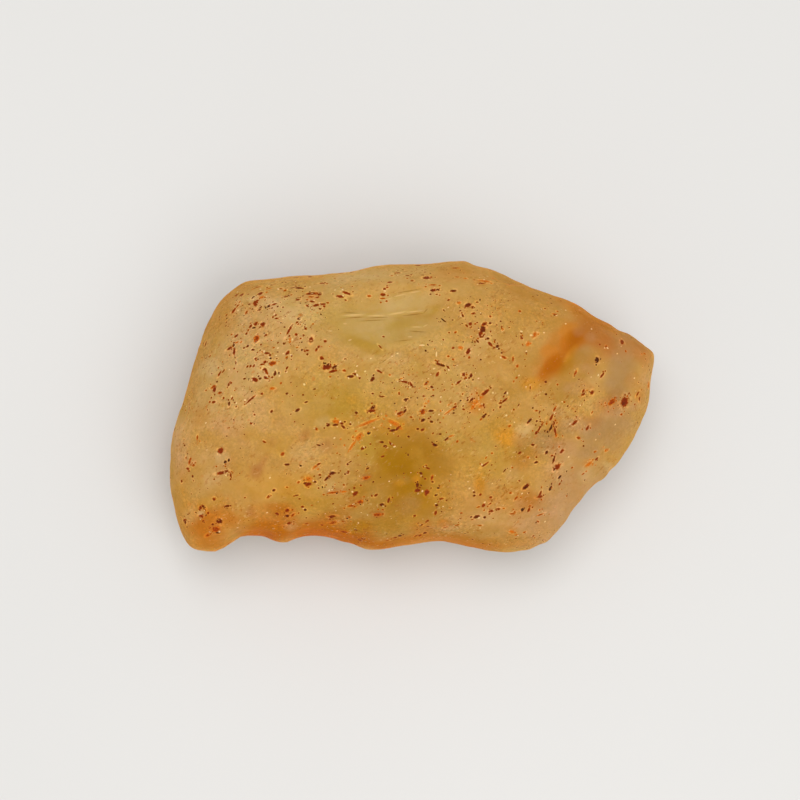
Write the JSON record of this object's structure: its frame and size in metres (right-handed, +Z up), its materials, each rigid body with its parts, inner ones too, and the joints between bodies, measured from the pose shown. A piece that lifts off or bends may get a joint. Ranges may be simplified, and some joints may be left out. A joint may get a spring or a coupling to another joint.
{
  "type": "raw desert glass nodule",
  "caption": "Raw piece of natural yellow desert glass with a wind-worn frosted skin, shallow scoops and iron-red specks, for display.",
  "frame": {"origin": "on the surface that the stone rests on, under the middle of its box", "axes": "+X along the stone's length, +Y across it, +Z up out of its broad upper face"},
  "size_m": [0.0382, 0.023, 0.0124],
  "materials": {
    "desert_glass": "matte, wind-frosted and cloudy, honey yellow with rust-red specks and orange stains"
  },
  "bodies": {
    "root": {"desert_glass": "desert_glass"}
  },
  "joints": []
}
